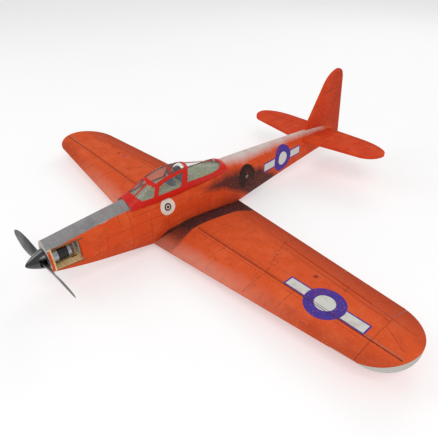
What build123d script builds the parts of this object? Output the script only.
from build123d import *
import math
import os

# Foam warbird model, about 1:12 scale, all sizes in millimetres.
# Pieces are drawn in aircraft terms: X is to port, stations run aft from the spinner's tip
# and waterlines rise from the thrust line. Each piece is moved at the end so that the
# origin is at the bottom centre of the whole aeroplane, with +Z up.

SPAN = 973.0
LENGTH = 840.0
BELLY = -73.0
HALF_SPAN = SPAN / 2
FIT = 0.05
GAP = 0.3

# Wing
ROOT_LE = 217.8
ROOT_TE = 448.4
LE_SWEEP = 0.0838
TE_SWEEP = -0.1382
WING_ROOT_W = -57.9
DIHEDRAL = 0.0627
THICKNESS_RATIO = 0.11
CAMBER_RATIO = 0.015
CAMBER_PEAK = 0.4
TRAILING_EDGE = 0.0035
TIP_LE_X = 433.0
TIP_TE_X = 427.0
TIP_STATION = 320.0

SPAR_STATIONS = (303.0, 294.5)
SPAR_REACH = (1.0, 476.0)
SPAR_WIDTH = 1.0
SPAR_HEIGHT = 6.0
SPAR_DEPTH = 1.0

# Ailerons
HINGE_ROOT_STATION = 416.0
HINGE_SWEEP = -0.150
AILERON_INNER_X = 202.0
AILERON_OUTER_X = 430.0
HINGE_GAP = 0.5
NOSE_SLOPE = 0.42
END_GAP = 0.8

# Tail
PLATE = 6.0
STAB_W = 15.2
STAB_LE = 666.8
STAB_TE = 775.9
STAB_SWEEP = 0.172
STAB_HALF_SPAN = 187.9
ELEVATOR_HINGE = 741.0
ELEVATOR_INNER = 12.0
ELEVATOR_OUTER = 165.0
FIN_BOTTOM = -28.0

# Nose, motor and propeller
NOSE_FACE = 32.5
SPINNER_RADIUS = 17.5
SPINNER_LENGTH = 30.0
BACKPLATE = 1.2
FIREWALL_FRONT = 37.0
PLY = 2.5
BOX_TOP = 20.0
BOX_BOTTOM = -15.0
BOX_REAR = 91.0
WINDOW_REAR = 84.0
MOTOR_RADIUS = 14.0
SHAFT_RADIUS = 1.575
PROP_RADIUS = 127.0
PROP_PITCH = 127.0
PROP_STATION = 25.0
PROP_ROLL = 7.0

# Cockpit hatch
HATCH_FRONT = 183.0
HATCH_REAR = 409.0
HATCH_W = 31.0
HATCH_LIFT = 0.2
DECK_W = 40.0
CANOPY_SKIN = 0.8

# Equipment bay under the hatch
BAY_FRONT = 128.0
BAY_REAR = 398.0
BAY_HALF = 17.0
BAY_FLOOR = -36.0

# Control linkage: every crank has the same radius, so each linkage is a parallelogram
CRANK = 14.0
ROD_RADIUS = 0.75
AILERON_LINK_U = 100.0
AILERON_LINK_LENGTH = 50.0
AILERON_SERVO_N = -2.0
ELEVATOR_LINK_X = -30.0
ELEVATOR_LINK_LENGTH = 166.0
ELEVATOR_SERVO_N = -10.2

# Hinges: knuckle and pin radii, leaf thickness, depth, width and middle knuckle
KNUCKLE = 1.3
PIN_RADIUS = 0.5
LEAF = 0.8
LEAF_DEPTH = 10.0
HINGE_WIDTH = 10.0
MIDDLE = 3.6

# Servo arms, horns and servo case
ARM_THICKNESS = 1.6
HORN_THICKNESS = 1.6
ROD_OFFSET = 2.0
SERVO_LENGTH = 22.5
SERVO_WIDTH = 12.0
SERVO_HEIGHT = 22.0
SHAFT_FROM_END = 6.0
BOSS_RADIUS = 2.4

# Elevator joiner wire
JOINER_RADIUS = 1.0

# Motor inside its can, and the collet on its shaft
COLLET_RADIUS = 3.0
STATOR_RADIUS = 10.8
STATOR_FRONT = 53.0
STATOR_REAR = 64.0
TEETH = 12
POLES = 14

# Hatch magnets
MAGNET_RADIUS = 3.0
MAGNET_PLACES = [(-20.8, 250.0), (20.8, 250.0), (-20.8, 360.0), (20.8, 360.0)]

# Hull stations: station, half width, shoulder, top, bottom
HULL = [
    (32.5, 22.0, -4.0, 33.5, -22.5),
    (60.0, 24.0, -4.0, 35.5, -31.0),
    (100.0, 26.5, -3.0, 39.0, -41.5),
    (150.0, 29.5, -2.0, 43.0, -51.5),
    (195.0, 32.0, 0.0, 46.0, -60.0),
    (245.0, 34.0, 2.0, 47.5, -69.5),
    (300.0, 35.0, 3.0, 48.5, -75.5),
    (360.0, 34.5, 3.0, 47.5, -75.0),
    (411.0, 33.0, 3.0, 46.0, -70.0),
    (455.0, 31.0, 2.0, 44.5, -64.0),
    (524.0, 27.0, 0.0, 41.5, -55.0),
    (600.0, 21.5, -2.0, 38.0, -47.0),
    (680.0, 15.0, -3.0, 33.5, -40.0),
    (750.0, 8.5, -4.0, 28.0, -35.0),
    (800.0, 4.2, -6.0, 22.5, -31.5),
]
HULL_TOP_POWER = 1.8
HULL_SIDE_POWER = 3.0

# Canopy stations: station, half width, top
CANOPY = [
    (183.3, 21.0, 45.0),
    (200.0, 23.0, 52.0),
    (231.0, 26.0, 67.0),
    (255.0, 27.3, 74.0),
    (280.0, 27.8, 76.8),
    (305.0, 27.8, 73.8),
    (350.0, 27.3, 61.5),
    (385.0, 25.5, 51.5),
    (408.7, 23.0, 46.2),
]
CANOPY_POWER = 2.2


def row_frame(shape):
    """Move a piece from aircraft coordinates to the frame at the bottom centre."""
    return Pos(0, -LENGTH / 2, -BELLY) * shape


def block(x0, x1, s0, s1, w0, w1):
    """Box between two corners."""
    return Pos((x0 + x1) / 2, (s0 + s1) / 2, (w0 + w1) / 2) * Box(x1 - x0, s1 - s0, w1 - w0)


def disc(radius, s0, s1, inner=0.0):
    """Disc or ring about the thrust line between two stations."""
    outline = Circle(radius)
    if inner > 0:
        outline -= Circle(inner)
    return Pos(0, s0, 0) * Rot(-90, 0, 0) * extrude(outline, s1 - s0)


def station_plane(station):
    """Cross-section plane whose own axes are X and the waterline."""
    return Plane(origin=(0, station, 0), x_dir=(1, 0, 0), z_dir=(0, -1, 0))


def arch_points(half_width, base, height, power, count=12):
    """Half superellipse from the port side over the middle to starboard."""
    points = []
    for i in range(count + 1):
        angle = math.pi * i / count
        across = math.copysign(abs(math.cos(angle)) ** (2 / power), math.cos(angle))
        points.append((half_width * across, base + height * math.sin(angle) ** (2 / power)))
    points[0] = (half_width, base)
    points[-1] = (-half_width, base)
    return points


def arch_edge(half_width, base, height, power):
    """Spline through the half superellipse, upright at both ends."""
    rise = math.copysign(1, height)
    points = arch_points(half_width, base, height, power)
    return Spline(*points, tangents=[(0, rise), (0, -rise)])


def hull_section(station, half_width, shoulder, top, bottom):
    upper = arch_edge(half_width, shoulder, top - shoulder, HULL_TOP_POWER)
    points = arch_points(half_width, 0, 1, HULL_SIDE_POWER)
    lower_points = [(x, shoulder + h * (bottom - shoulder)) for x, h in points]
    lower = Spline(*lower_points, tangents=[(0, -1), (0, 1)])
    return station_plane(station) * make_face([upper, lower])


def hull_solid():
    """Outer shape of the whole fuselage, with its belly cut flat to rest on."""
    hull = loft([hull_section(*row) for row in HULL])
    return hull - block(-60, 60, 0, LENGTH, BELLY - 20, BELLY)


def canopy_form(inset, skirt):
    """Solid under the canopy's surface, drawn in by the inset, with upright sides below."""
    faces = []
    foot = HATCH_W - skirt
    for station, half_width, top in CANOPY:
        reach = half_width - inset
        arch = arch_edge(reach, HATCH_W, top - inset - HATCH_W, CANOPY_POWER)
        port = Line((reach, foot), (reach, HATCH_W))
        starboard = Line((-reach, HATCH_W), (-reach, foot))
        base = Line((-reach, foot), (reach, foot))
        faces.append(station_plane(station) * make_face([port, arch, starboard, base]))
    return loft(faces)


def chord_span(x):
    """Leading-edge and trailing-edge stations of the wing at a distance from the middle."""
    return ROOT_LE + LE_SWEEP * x, ROOT_TE + TE_SWEEP * x


def half_thickness(u):
    """Half thickness of the aerofoil over its chord, blunt at the trailing edge."""
    bare = 0.2969 * math.sqrt(u) - 0.1260 * u - 0.3516 * u**2 + 0.2843 * u**3 - 0.1036 * u**4
    return 5 * THICKNESS_RATIO * bare + TRAILING_EDGE * u


def camber(u):
    """Height of the aerofoil's mean line over its chord."""
    if u < CAMBER_PEAK:
        return CAMBER_RATIO / CAMBER_PEAK**2 * (2 * CAMBER_PEAK * u - u**2)
    rest = (1 - 2 * CAMBER_PEAK) + 2 * CAMBER_PEAK * u - u**2
    return CAMBER_RATIO / (1 - CAMBER_PEAK) ** 2 * rest


def wing_w(x, station, side):
    """Waterline of the wing's top (side 1), mean line (0) or underside (-1)."""
    lead, trail = chord_span(x)
    chord = trail - lead
    u = (station - lead) / chord
    return WING_ROOT_W + DIHEDRAL * x + chord * (camber(u) + side * half_thickness(u))


def aerofoil(x):
    """Wing section at a distance from the middle."""
    lead, trail = chord_span(x)
    chord = trail - lead
    level = WING_ROOT_W + DIHEDRAL * x
    fractions = [(1 - math.cos(math.pi * i / 14)) / 2 for i in range(15)]
    top = [(lead + u * chord, level + chord * (camber(u) + half_thickness(u))) for u in fractions]
    low = [(lead + u * chord, level + chord * (camber(u) - half_thickness(u))) for u in fractions]
    skin = Spline(*reversed(top), *low[1:])
    closing = Line(top[-1], low[-1])
    plane = Plane(origin=(x, 0, 0), x_dir=(0, 1, 0), z_dir=(1, 0, 0))
    return plane * make_face([skin, closing])


def tip_curve(start, start_way, end, end_way):
    """Round tip: a curve tangent to both given directions."""
    (ax, ay), (bx, by) = start, end
    cross = start_way[0] * end_way[1] - start_way[1] * end_way[0]
    along = ((bx - ax) * end_way[1] - (by - ay) * end_way[0]) / cross
    corner = (ax + along * start_way[0], ay + along * start_way[1])
    pull = 0.56
    first = (ax + pull * (corner[0] - ax), ay + pull * (corner[1] - ay))
    second = (bx + pull * (corner[0] - bx), by + pull * (corner[1] - by))
    return Bezier(start, first, second, end)


def wing_outline():
    """Plan shape of the port panel with its round tip."""
    tip_le = (TIP_LE_X, chord_span(TIP_LE_X)[0])
    tip_te = (TIP_TE_X, chord_span(TIP_TE_X)[1])
    tip = (HALF_SPAN, TIP_STATION)
    edges = [
        Line((0, ROOT_LE - 2), (0, ROOT_TE + 2)),
        Line((0, ROOT_LE - 2), tip_le),
        tip_curve(tip_le, (1, LE_SWEEP), tip, (0, 1)),
        tip_curve(tip, (0, 1), tip_te, (-1, -TE_SWEEP)),
        Line(tip_te, (0, ROOT_TE + 2)),
    ]
    return make_face(edges)


def wing_solid():
    panel = loft([aerofoil(0), aerofoil(HALF_SPAN + 2)], ruled=True)
    plan = Pos(0, 0, -120) * extrude(wing_outline(), 200)
    return panel & plan


def spar_strip(height, top_depth):
    """Upright strip along the wing's spar line, measured down from the top skin."""
    stations = SPAR_STATIONS
    reaches = SPAR_REACH
    tops = [wing_w(x, s, 1) - top_depth for x, s in zip(reaches, stations)]
    corners = [
        (reaches[0], tops[0]),
        (reaches[1], tops[1]),
        (reaches[1], tops[1] - height),
        (reaches[0], tops[0] - height),
    ]
    turn = math.degrees(math.atan((stations[1] - stations[0]) / (reaches[1] - reaches[0])))
    strip = Rot(90, 0, 0) * extrude(Polygon(*corners, align=None), SPAR_WIDTH / 2, both=True)
    return Pos(0, stations[0], 0) * Rot(0, 0, turn) * strip


def hinge_line(x):
    """Point on the aileron's hinge axis."""
    station = HINGE_ROOT_STATION + HINGE_SWEEP * x
    return Vector(x, station, wing_w(x, station, 0))


def aileron_frame():
    """Frame on the hinge: its X runs outboard, Y aft and Z up."""
    start = hinge_line(AILERON_INNER_X)
    axis = (hinge_line(AILERON_OUTER_X) - start).normalized()
    aft = Vector(0, 0, 1).cross(axis).normalized()
    return Plane(origin=start, x_dir=axis, z_dir=axis.cross(aft))


def elevator_frame():
    return Plane(origin=(0, ELEVATOR_HINGE, STAB_W), x_dir=(1, 0, 0), z_dir=(0, 0, 1))


AILERON = aileron_frame()
ELEVATOR = elevator_frame()
AILERON_LENGTH = (hinge_line(AILERON_OUTER_X) - hinge_line(AILERON_INNER_X)).length
HINGE_PLACES = [18.0, 116.0, 212.0]
ELEVATOR_HINGES = [45.0, 135.0]


def in_frame(frame, shape):
    """Place a piece drawn in a hinge's own axes."""
    return frame.location * shape


def mirrored(shape):
    """Starboard copy of a port piece."""
    return mirror(shape, about=Plane.YZ)


def local_box(u0, u1, v0, v1, n0, n1):
    return block(u0, u1, v0, v1, n0, n1)


def local_prism(u0, u1, corners):
    """Prism along the hinge axis from corners given aft and up."""
    face = Plane.YZ * Polygon(*corners, align=None)
    return Pos(u0, 0, 0) * extrude(face, u1 - u0, dir=(1, 0, 0))


def flap_block(u0, u1):
    """Everything aft of a hinge, with a bevelled nose that lets the flap swing."""
    tall = 12.0
    corners = [
        (HINGE_GAP, 0),
        (HINGE_GAP + tall * NOSE_SLOPE, tall),
        (90, tall),
        (90, -tall),
        (HINGE_GAP + tall * NOSE_SLOPE, -tall),
    ]
    return local_prism(u0, u1, corners)


def flap_opening(u0, u1):
    return local_box(u0, u1, -HINGE_GAP, 90, -20, 20)


# Small nylon pin hinge: two end knuckles on the fixed leaf, one middle knuckle on the other


def tube(u0, u1, radius, bore):
    ring = Circle(radius) - Circle(bore)
    return Pos(u0, 0, 0) * extrude(Plane.YZ * ring, u1 - u0)


def rod(u0, u1, radius):
    return Pos(u0, 0, 0) * extrude(Plane.YZ * Circle(radius), u1 - u0)


def hinge_fixed(u):
    half = HINGE_WIDTH / 2
    inner = MIDDLE / 2 + 0.2
    leaf = local_box(u - half, u + half, -LEAF_DEPTH, -KNUCKLE - GAP, -LEAF / 2, LEAF / 2)
    leaf += local_box(u - half, u - inner, -KNUCKLE - GAP, -0.8, -LEAF / 2, LEAF / 2)
    leaf += local_box(u + inner, u + half, -KNUCKLE - GAP, -0.8, -LEAF / 2, LEAF / 2)
    leaf += tube(u - half, u - inner, KNUCKLE, PIN_RADIUS)
    leaf += tube(u + inner, u + half, KNUCKLE, PIN_RADIUS)
    return leaf


def hinge_moving(u):
    half = HINGE_WIDTH / 2
    neck = MIDDLE / 2
    leaf = local_box(u - half, u + half, KNUCKLE + GAP, LEAF_DEPTH, -LEAF / 2, LEAF / 2)
    leaf += local_box(u - neck, u + neck, 0.8, KNUCKLE + GAP, -LEAF / 2, LEAF / 2)
    return leaf + tube(u - neck, u + neck, KNUCKLE, PIN_RADIUS + FIT)


def hinge_pin(u):
    return rod(u - HINGE_WIDTH / 2, u + HINGE_WIDTH / 2, PIN_RADIUS)


def hinge_pocket(u):
    """Room in the foam for the knuckles."""
    return rod(u - HINGE_WIDTH / 2 - 0.5, u + HINGE_WIDTH / 2 + 0.5, KNUCKLE + 2 * GAP)


# Linkage pieces, drawn in a hinge's own axes


def across(u, v, n, radius, thickness):
    """Disc square to the hinge axis, centred on the plane u."""
    return Pos(u - thickness / 2, v, n) * extrude(Plane.YZ * Circle(radius), thickness)


def horn(u):
    """Control horn under a flap, with its hole straight below the hinge."""
    corners = [(-2.4, 0.6 - CRANK), (5, -2.6), (5, 1.2), (15, 1.2), (15, -3), (1.6, -CRANK - 1.8)]
    plate = local_prism(u - HORN_THICKNESS / 2, u + HORN_THICKNESS / 2, corners)
    plate += across(u, 0, -CRANK, 2.4, HORN_THICKNESS)
    return plate - across(u, 0, -CRANK, ROD_RADIUS + 0.15, 4 * HORN_THICKNESS)


def servo_arm(u, v, n):
    """Output arm pointing straight down, parallel to the horn."""
    corners = [(v - 3.2, n), (v + 3.2, n), (v + 2.0, n - CRANK), (v - 2.0, n - CRANK)]
    arm = local_prism(u - ARM_THICKNESS / 2, u + ARM_THICKNESS / 2, corners)
    arm += across(u, v, n, 3.6, ARM_THICKNESS)
    arm += across(u, v, n - CRANK, 2.0, ARM_THICKNESS)
    arm -= across(u, v, n, BOSS_RADIUS + FIT, 4 * ARM_THICKNESS)
    return arm - across(u, v, n - CRANK, ROD_RADIUS + FIT, 4 * ARM_THICKNESS)


def servo_box(u, v, n, grow=0.0):
    """Servo case and ears as plain blocks, optionally grown."""
    face = u + ARM_THICKNESS / 2 + 0.4
    front = v - SHAFT_FROM_END - grow
    back = v - SHAFT_FROM_END + SERVO_LENGTH + grow
    half = SERVO_WIDTH / 2 + grow
    case = local_box(face, face + SERVO_HEIGHT + grow, front, back, n - half, n + half)
    ears = local_box(face + 5, face + 7.4, front - 4.7, back + 4.7, n - half, n + half)
    return case + ears


def servo(u, v, n):
    """Small servo lying on its side, with its output towards the arm."""
    case = servo_box(u, v, n)
    face = u + ARM_THICKNESS / 2 + 0.4
    boss = Pos(u - ARM_THICKNESS / 2, v, n) * extrude(Plane.YZ * Circle(BOSS_RADIUS), face - u + 1.8)
    case = case + boss
    for end in (v - SHAFT_FROM_END - 2.4, v - SHAFT_FROM_END + SERVO_LENGTH + 2.4):
        case -= Pos(face, end, n) * extrude(Plane.YZ * Circle(1.0), 12)
    return case


def servo_pocket(u, v, n):
    """Foam cut away for the servo, the arm's swing and the mouth below."""
    side = u - ARM_THICKNESS / 2 - 4.5
    face = u + ARM_THICKNESS / 2 + 0.4
    front = v - SHAFT_FROM_END - 4.7
    back = v - SHAFT_FROM_END + SERVO_LENGTH + 4.7
    half = SERVO_WIDTH / 2
    well = local_box(face, face + SERVO_HEIGHT, front, back, n - 30, n + half)
    arm_well = local_box(side, face, v - 13, v + 13, n - 30, n + 5)
    return well + arm_well


def pushrod(u, v, n):
    """Wire from the arm's hole to the horn's hole, with a right-angle bend at each end."""
    start = Vector(u - ROD_OFFSET, v, n - CRANK)
    end = Vector(u - ROD_OFFSET, 0, -CRANK)
    reach = (end - start).length
    plane = Plane(origin=start, z_dir=(end - start).normalized())
    wire = plane.location * extrude(Circle(ROD_RADIUS), reach)
    wire += Pos(start.X, start.Y, start.Z) * Sphere(ROD_RADIUS)
    wire += Pos(end.X, end.Y, end.Z) * Sphere(ROD_RADIUS)
    for place in (start, end):
        pin = extrude(Plane.YZ * Circle(ROD_RADIUS), ROD_OFFSET + 1.4)
        wire += Pos(place.X, place.Y, place.Z) * pin
    return wire


def wing_pieces():
    """Port wing panel, aileron and their linkage, all as port pieces."""
    wing = wing_solid()
    u_end = AILERON_LENGTH
    link = (AILERON_LINK_U, -AILERON_LINK_LENGTH, AILERON_SERVO_N)
    flap = wing & in_frame(AILERON, flap_block(END_GAP, u_end - END_GAP))
    panel = wing - in_frame(AILERON, flap_opening(0, u_end))
    panel -= spar_strip(SPAR_HEIGHT + SPAR_DEPTH + 10, -10)
    fixed = []
    moving = []
    pins = []
    for u in HINGE_PLACES:
        fixed.append(in_frame(AILERON, hinge_fixed(u)))
        moving.append(in_frame(AILERON, hinge_moving(u)))
        pins.append(in_frame(AILERON, hinge_pin(u)))
        pocket = in_frame(AILERON, hinge_pocket(u))
        panel = panel - pocket - fixed[-1]
        flap = flap - pocket - moving[-1]
    horn_piece = in_frame(AILERON, horn(AILERON_LINK_U))
    panel -= in_frame(AILERON, servo_pocket(*link))
    flap -= horn_piece
    return {
        "wing": panel,
        "aileron": flap,
        "spar": spar_strip(SPAR_HEIGHT, SPAR_DEPTH),
        "hinge_leaves_fixed": Compound(fixed),
        "hinge_leaves_aileron": Compound(moving),
        "hinge_pins": Compound(pins),
        "aileron_horn": horn_piece,
        "aileron_servo": in_frame(AILERON, servo(*link)),
        "aileron_servo_arm": in_frame(AILERON, servo_arm(*link)),
        "aileron_pushrod": in_frame(AILERON, pushrod(*link)),
    }


def stabiliser_outline():
    """Whole tailplane in plan, both halves."""
    start = (153.0, STAB_LE + STAB_SWEEP * 153.0)
    tip = (STAB_HALF_SPAN, 737.7)
    end = (106.0, STAB_TE - 0.5)
    edges = []
    for side in (1, -1):
        nose = (0, STAB_LE)
        tail = (0, STAB_TE)
        flip = [(side * x, y) for x, y in (nose, start, tip, end, tail)]
        edges.append(Line(flip[0], flip[1]))
        edges.append(tip_curve(flip[1], (side, STAB_SWEEP), flip[2], (0, 1)))
        edges.append(tip_curve(flip[2], (0, 1), flip[3], (-side, 0.005)))
        edges.append(Line(flip[3], flip[4]))
    return make_face(edges)


def fin_outline():
    """Fin and fixed rudder in side view: stations across, waterlines up."""
    start = (749.5, 133.0)
    top = (797.0, 160.0)
    end = (817.7, 136.0)
    edges = [
        Line((690, FIN_BOTTOM), (690, 33.5)),
        Line((690, 33.5), start),
        tip_curve(start, (0.599, 1), top, (1, 0)),
        tip_curve(top, (1, 0), end, (0.136, -1)),
        Line(end, (840, FIN_BOTTOM)),
        Line((840, FIN_BOTTOM), (690, FIN_BOTTOM)),
    ]
    return make_face(edges)


def plate(outline):
    """Flat foam plate, half its thickness each side of the plane it is drawn on."""
    return extrude(outline, PLATE / 2, both=True)


def joiner_wire(radius):
    """Bent wire that ties the two elevator halves together on the hinge axis."""
    reach = 26.0
    wire = rod(-reach, reach, radius)
    for x in (-reach, reach):
        leg = extrude(Circle(radius), 22.0)
        wire += Pos(x, 0, 0) * Rot(-90, 0, 0) * leg
        wire += Pos(x, 0, 0) * Sphere(radius)
    return wire


def tail_pieces():
    """Tailplane, elevators, fin and their fittings."""
    whole = Pos(0, 0, STAB_W) * plate(stabiliser_outline())
    stab = whole
    link = (ELEVATOR_LINK_X, -ELEVATOR_LINK_LENGTH, ELEVATOR_SERVO_N)
    flap = whole & in_frame(ELEVATOR, flap_block(ELEVATOR_INNER, ELEVATOR_OUTER - END_GAP))
    flaps = [flap, mirrored(flap)]
    stab -= in_frame(ELEVATOR, flap_opening(-ELEVATOR_OUTER, ELEVATOR_OUTER))
    fixed = []
    moving = []
    pins = []
    for u in ELEVATOR_HINGES:
        for side in (-1, 1):
            fixed.append(in_frame(ELEVATOR, hinge_fixed(side * u)))
            moving.append(in_frame(ELEVATOR, hinge_moving(side * u)))
            pins.append(in_frame(ELEVATOR, hinge_pin(side * u)))
            pocket = in_frame(ELEVATOR, hinge_pocket(side * u))
            stab = stab - pocket - fixed[-1]
            index = 0 if side > 0 else 1
            flaps[index] = flaps[index] - pocket - moving[-1]
    joiner = in_frame(ELEVATOR, joiner_wire(JOINER_RADIUS))
    swing = in_frame(ELEVATOR, rod(-28, 28, JOINER_RADIUS + GAP))
    stab -= swing
    horn_piece = in_frame(ELEVATOR, horn(ELEVATOR_LINK_X))
    flaps = [each - joiner - horn_piece for each in flaps]
    fin = plate(Plane.YZ * fin_outline()) - whole_slot(whole)
    fin -= in_frame(ELEVATOR, rod(-28, 28, JOINER_RADIUS + GAP))
    return {
        "stabiliser": stab,
        "elevator_left": flaps[0],
        "elevator_right": flaps[1],
        "fin": fin,
        "elevator_joiner": joiner,
        "hinge_leaves_stabiliser": Compound(fixed),
        "hinge_leaves_elevator": Compound(moving),
        "elevator_hinge_pins": Compound(pins),
        "elevator_horn": horn_piece,
        "elevator_servo": in_frame(ELEVATOR, servo(*link)),
        "elevator_servo_arm": in_frame(ELEVATOR, servo_arm(*link)),
        "elevator_pushrod": in_frame(ELEVATOR, pushrod(*link)),
    }


def whole_slot(whole):
    """The part of the tailplane that passes through the fin and the hull."""
    return whole & block(-60, 60, STAB_LE - 5, ELEVATOR_HINGE - HINGE_GAP, -20, 60)


def port_foam(hull, wing, fin):
    """Port half of the fuselage foam, with everything let into it cut away."""
    box_front = FIREWALL_FRONT + PLY
    cuts = [
        block(-60, 60, FIREWALL_FRONT, box_front, BOX_BOTTOM - PLY, BOX_TOP + PLY),
        block(-60, 60, box_front, BOX_REAR, BOX_TOP, BOX_TOP + PLY),
        block(-60, 60, box_front, BOX_REAR, BOX_BOTTOM - PLY, BOX_BOTTOM),
        block(-60, 60, box_front, WINDOW_REAR, BOX_BOTTOM, BOX_TOP),
        block(-60, 60, HATCH_FRONT, HATCH_REAR, HATCH_W, 90),
        block(-BAY_HALF, BAY_HALF, BAY_FRONT, BAY_REAR, BAY_FLOOR, HATCH_W),
        block(-7, 7, WINDOW_REAR, BAY_FRONT, -9, 9),
        disc(9.0, NOSE_FACE - 2, FIREWALL_FRONT),
        wing,
        fin,
        whole_slot(Pos(0, 0, STAB_W) * plate(stabiliser_outline())),
        in_frame(ELEVATOR, rod(-28, 28, JOINER_RADIUS + GAP)),
    ]
    foam = hull & block(0, 80, 0, LENGTH, -120, 120)
    for cut in cuts:
        foam -= cut
    return foam


def fuselage_pieces(wing, fin):
    """Foam fuselage halves and the plywood motor box let into the nose."""
    hull = hull_solid()
    box_front = FIREWALL_FRONT + PLY
    low = BOX_BOTTOM - PLY
    firewall = hull & block(-60, 60, FIREWALL_FRONT, box_front, low, BOX_TOP + PLY)
    top = hull & block(-60, 60, box_front, BOX_REAR, BOX_TOP, BOX_TOP + PLY)
    bottom = hull & block(-60, 60, box_front, BOX_REAR, low, BOX_BOTTOM)
    slots = block(-9, -6, 70, 80, -30, 0) + block(6, 9, 70, 80, -30, 0)
    left = port_foam(hull, wing, fin)
    link = (ELEVATOR_LINK_X, -ELEVATOR_LINK_LENGTH, ELEVATOR_SERVO_N)
    return {
        "fuselage_left": left,
        "fuselage_right": mirrored(left) - in_frame(ELEVATOR, servo_box(*link)),
        "firewall": firewall - disc(6.0, 0, 60),
        "motor_box_top": top,
        "motor_box_bottom": bottom - slots,
    }


def spinner_profile(station, inset=0.0):
    return (SPINNER_RADIUS - inset) * (station / SPINNER_LENGTH) ** 0.62


def spinner_cone():
    """Thin pointed shell with a cut-out for each blade root."""
    steps = [0.5, 2, 5, 10, 16, 23, SPINNER_LENGTH]
    outer = [(0, 0)] + [(spinner_profile(s), s) for s in steps]
    skin = 1.2
    inner = [(0, 2.5)] + [(max(spinner_profile(s) - skin, 0.4), s) for s in steps[2:]]
    shells = []
    for points in (outer, inner):
        edges = [
            Spline(*points),
            Line(points[-1], (0, points[-1][1])),
            Line((0, points[-1][1]), points[0]),
        ]
        shells.append(revolve(make_face(edges), Axis.Y))
    cone = shells[0] - shells[1]
    slot = block(8, 30, PROP_STATION - 5.5, SPINNER_LENGTH + 1, -6.5, 6.5)
    cone -= roll(slot)
    cone -= roll(Rot(0, 180, 0) * slot)
    return cone


def roll(shape):
    """Turn a rotor piece to the angle at which the propeller has come to rest."""
    return Rot(0, -PROP_ROLL, 0) * shape


def blade_chord(r):
    share = r / PROP_RADIUS
    return 10.5 + 42.0 * share**1.2 * (1 - share**3.2) if share < 0.97 else 11.0


def blade_section(r):
    """Lens section square to the blade at a radius, set at the angle of the pitch."""
    chord = blade_chord(r)
    thick = 3.6 - 2.7 * r / PROP_RADIUS
    nose = (-chord / 2, 0)
    tail = (chord / 2, 0)
    lens = make_face(
        [
            ThreePointArc(nose, (0, -thick * 0.8), tail),
            ThreePointArc(tail, (0, thick * 0.2), nose),
        ]
    )
    angle = min(math.degrees(math.atan2(PROP_PITCH, 2 * math.pi * r)), 42.0)
    plane = Plane(origin=(r, PROP_STATION, 0), x_dir=(0, 0, -1), z_dir=(1, 0, 0))
    return plane * Rot(0, 0, angle) * lens


def propeller():
    """Two blades of constant pitch on a round hub."""
    radii = [5, 22, 40, 62, 86, 108, 121, PROP_RADIUS]
    blade = loft([blade_section(r) for r in radii])
    hub = disc(7.5, PROP_STATION - 4, PROP_STATION + 4)
    prop = blade + Rot(0, 180, 0) * blade + hub
    prop -= disc(COLLET_RADIUS, PROP_STATION - 9, PROP_STATION + 9)
    return roll(prop)


def motor_pieces():
    """Outrunner motor: fixed base and stator inside a turning can."""
    box_front = FIREWALL_FRONT + PLY
    base = disc(MOTOR_RADIUS, box_front, 49.5, 4.0) + disc(4.0, box_front, 70.0)
    base -= disc(3.0, box_front - 1, 42.5)
    base -= disc(3.0, 67.5, 71.0)
    base -= disc(SHAFT_RADIUS + GAP, 30, 80)
    bearings = disc(3.0, box_front, 42.5, SHAFT_RADIUS + FIT) + disc(3.0, 67.5, 70, SHAFT_RADIUS + FIT)
    stator = disc(5.6, STATOR_FRONT, STATOR_REAR, 4.0)
    coils = []
    for i in range(TEETH):
        turn = Rot(0, 360 * i / TEETH, 0)
        mid = (STATOR_FRONT + STATOR_REAR) / 2
        depth = STATOR_REAR - STATOR_FRONT
        tooth = Pos(7.4, mid, 0) * Box(4.4, depth, 1.4)
        shoe = Pos(10.0, mid, 0) * Box(0.9, depth, 4.0)
        stator += turn * (tooth + shoe)
        coil = Pos(7.7, mid, 0) * (Box(2.8, depth + 2.0, 2.6) - Box(4, depth, 1.4))
        coils.append(turn * coil)
    can = disc(MOTOR_RADIUS, 50.2, 66.0, 12.7)
    magnets = []
    for i in range(POLES):
        wedge = Rot(0, 360 * i / POLES, 0) * block(8, 16, 51.5, 65.0, -2.4, 2.4)
        magnets.append(disc(12.7, 51.5, 65.0, 11.3) & wedge)
    cap = disc(MOTOR_RADIUS, 66.0, 71.0, 0) + Pos(0, 71, 0) * Rot(-90, 0, 0) * cap_dome()
    cap -= disc(4.5, 65, 71.0)
    cap -= disc(SHAFT_RADIUS, 60, 80)
    for i in range(6):
        cap -= Rot(0, 60 * i, 0) * (Pos(8.6, 0, 0) * disc(2.2, 60, 80))
    shaft = disc(SHAFT_RADIUS, 23.0, 78.0)
    collet = disc(COLLET_RADIUS, 14.5, 33.5) + disc(6.5, SPINNER_LENGTH + BACKPLATE, 34.0)
    collet += disc(4.4, 34.0, 36.3)
    collet -= disc(SHAFT_RADIUS, 23.0, 40)
    nut = disc(5.0, 16.5, PROP_STATION - 4, COLLET_RADIUS)
    flats = Rot(-90, 0, 0) * extrude(RegularPolygon(4.8, 6), 5.0)
    nut = nut & (Pos(0, 16.3, 0) * flats)
    screws = []
    for i in range(4):
        head = disc(2.7, FIREWALL_FRONT - 2.2, FIREWALL_FRONT) + disc(1.5, FIREWALL_FRONT, 46.0)
        screws.append(Rot(0, 45 + 90 * i, 0) * (Pos(9.5, 0, 0) * head))
    for screw in screws:
        base -= screw
    return {
        "motor_base": base,
        "motor_bearings": Compound(bearings.solids()),
        "motor_stator": stator,
        "motor_windings": Compound(coils),
        "motor_screws": Compound(screws),
        "motor_can": can,
        "motor_end_cap": cap,
        "motor_magnets": Compound(magnets),
        "motor_shaft": shaft,
        "prop_collet": collet,
        "prop_nut": nut,
    }


def cap_dome():
    """Short cone that closes the back of the can."""
    faces = [Circle(MOTOR_RADIUS), Pos(0, 0, 5.0) * Circle(11.5)]
    return loft(faces, ruled=True)


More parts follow.
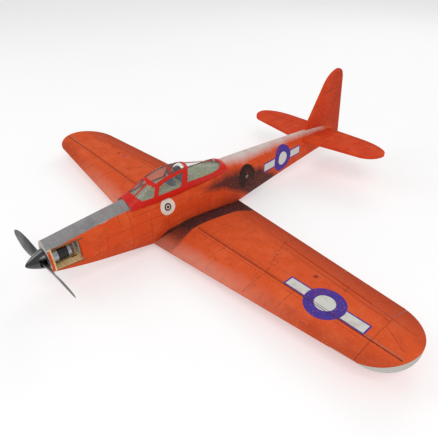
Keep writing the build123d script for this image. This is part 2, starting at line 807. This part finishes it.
def canopy_pieces():
    """Clear moulded canopy on its lift-off deck, with the cockpit's fittings."""
    lift = HATCH_W + HATCH_LIFT
    ends = block(-60, 60, HATCH_FRONT + 1.2, HATCH_REAR - 1.2, 0, 100)
    outer = canopy_form(0.0, 2.0) & block(-60, 60, 0, LENGTH, lift, 100)
    inner = canopy_form(CANOPY_SKIN, 6.0)
    shell = outer - inner
    deck = inner & ends & block(-60, 60, 0, LENGTH, lift, DECK_W)
    half = BAY_HALF - 0.5
    deck += block(-half, half, BAY_FRONT + 60, BAY_REAR - 1, HATCH_W - 5, HATCH_W + 2)
    deck -= block(-half + 4, half - 4, BAY_FRONT + 64, BAY_REAR - 5, HATCH_W - 6, HATCH_W + 2)
    panel_shape = Polygon((-15, DECK_W), (15, DECK_W), (11, DECK_W + 16), (-11, DECK_W + 16), align=None)
    panel = Pos(0, 243, 0) * Rot(90, 0, 0) * extrude(panel_shape, 2.5)
    for x in (-5.5, 5.5):
        panel -= Pos(x, 0, DECK_W + 8) * disc(3.4, 230, 250)
    brace = Polygon((243, DECK_W), (262, DECK_W), (243, DECK_W + 14), align=None)
    panel += Pos(-1.2, 0, 0) * extrude(Plane.YZ * brace, 2.4, dir=(1, 0, 0))
    rest = headrest()
    return {"canopy": shell, "cockpit_deck": deck, "instrument_panel": panel, "headrest": rest}


def headrest():
    """Upright armour plate with a padded head roll, behind the pilot."""
    outline = Pos(0, DECK_W + 14.5) * Rectangle(24, 29)
    outline = fillet(outline.vertices().group_by(Axis.Y)[-1], 11.0)
    back = Pos(0, 306, 0) * Rot(90, 0, 0) * extrude(outline, 4.0)
    roll_pad = Pos(0, 301, DECK_W + 22) * Rot(0, 90, 0) * Cylinder(3.5, 15)
    return back + roll_pad


def pilot_bust():
    """Plain pilot figure: shoulders, neck and a smooth helmeted head."""
    shoulders = Pos(0, 284, DECK_W + 4) * Box(27, 13, 8)
    shoulders = fillet(shoulders.edges().filter_by(Axis.Y), 3.9)
    neck = Pos(0, 285, DECK_W + 10) * Cylinder(3.6, 6)
    head = Pos(0, 284, DECK_W + 18) * scale(Sphere(7.6), by=(0.86, 1.0, 1.12))
    return shoulders + neck + head


def equipment_pieces():
    """Flight pack, its strap, speed controller and receiver in the bay."""
    floor = BAY_FLOOR
    pack = block(-15, 15, 196, 300, floor + 1.4, floor + 25.4)
    pack = fillet(pack.edges().filter_by(Axis.Y), 3.0)
    strap = block(-16.2, 16.2, 236, 256, floor, floor + 26.8)
    strap -= block(-15, 15, 230, 260, floor + 1.4, floor + 25.4)
    pads = block(-15, 15, 196, 230, floor, floor + 1.4)
    esc = block(-12.5, 12.5, 134, 182, floor, floor + 8)
    esc = fillet(esc.edges().filter_by(Axis.Y), 1.5)
    receiver = block(-11, 11, 322, 364, floor, floor + 12)
    receiver = fillet(receiver.edges().filter_by(Axis.Z), 1.5)
    return {"battery": pack + pads, "battery_strap": strap, "speed_controller": esc, "receiver": receiver}


def magnet_set(bottom, top):
    """Four round magnets between two waterlines, near the hatch's corners."""
    discs = []
    for x, station in MAGNET_PLACES:
        discs.append(Pos(x, station, bottom) * extrude(Circle(MAGNET_RADIUS), top - bottom))
    return discs


def dihedral_brace():
    """Plywood V plate behind the spars, joining the two panels inside the hull."""
    top = [wing_w(x, 306, 1) - 4.0 for x in (0, 60)]
    corners = [(-60, top[1]), (0, top[0]), (60, top[1])]
    corners += [(60, top[1] - 9), (0, top[0] - 12), (-60, top[1] - 9)]
    return Pos(0, 307, 0) * Rot(90, 0, 0) * extrude(Polygon(*corners, align=None), 2.0)


def assemble():
    """All named pieces in aircraft coordinates."""
    pieces = {}
    port = wing_pieces()
    brace = dihedral_brace()
    port["wing"] -= brace
    for name in ("wing", "aileron", "spar", "hinge_leaves_aileron", "aileron_horn"):
        pieces[name + "_left"] = port[name]
        pieces[name + "_right"] = mirrored(port[name])
    for name in ("aileron_servo", "aileron_servo_arm", "aileron_pushrod"):
        pieces[name + "_left"] = port[name]
        pieces[name + "_right"] = mirrored(port[name])
    tail = tail_pieces()
    leaves = port["hinge_leaves_fixed"].solids() + tail.pop("hinge_leaves_stabiliser").solids()
    leaves += mirrored(port["hinge_leaves_fixed"]).solids()
    pins = port["hinge_pins"].solids() + mirrored(port["hinge_pins"]).solids()
    pins += tail.pop("elevator_hinge_pins").solids()
    pieces["hinge_leaves_fixed"] = Compound(leaves)
    pieces["hinge_pins"] = Compound(pins)
    pieces["dihedral_brace"] = brace
    pieces.update(tail)
    whole_wing = wing_solid()
    pieces.update(fuselage_pieces(whole_wing, tail["fin"]))
    motor = motor_pieces()
    for screw in motor["motor_screws"].solids():
        pieces["firewall"] -= screw
        pieces["fuselage_left"] -= screw
        pieces["fuselage_right"] -= screw
    pieces.update(motor)
    pieces["propeller"] = propeller()
    plate_disc = disc(SPINNER_RADIUS, SPINNER_LENGTH, SPINNER_LENGTH + BACKPLATE, COLLET_RADIUS)
    pieces["spinner_backplate"] = plate_disc
    pieces["spinner_cone"] = spinner_cone()
    pieces.update(canopy_pieces())
    pieces["pilot"] = pilot_bust()
    pieces.update(equipment_pieces())
    hatch_magnets = magnet_set(HATCH_W + HATCH_LIFT, HATCH_W + HATCH_LIFT + 2.0)
    bay_magnets = magnet_set(HATCH_W - 2.0, HATCH_W)
    for magnet in hatch_magnets:
        pieces["cockpit_deck"] -= magnet
    for magnet in bay_magnets:
        pieces["fuselage_left"] -= magnet
        pieces["fuselage_right"] -= magnet
    pieces["hatch_magnets"] = Compound(hatch_magnets)
    pieces["bay_magnets"] = Compound(bay_magnets)
    return pieces


os.makedirs("parts", exist_ok=True)
for node, shape in assemble().items():
    solids = row_frame(shape).solids()
    export_step(Compound(solids) if len(solids) > 1 else solids[0], f"parts/{node}.step")
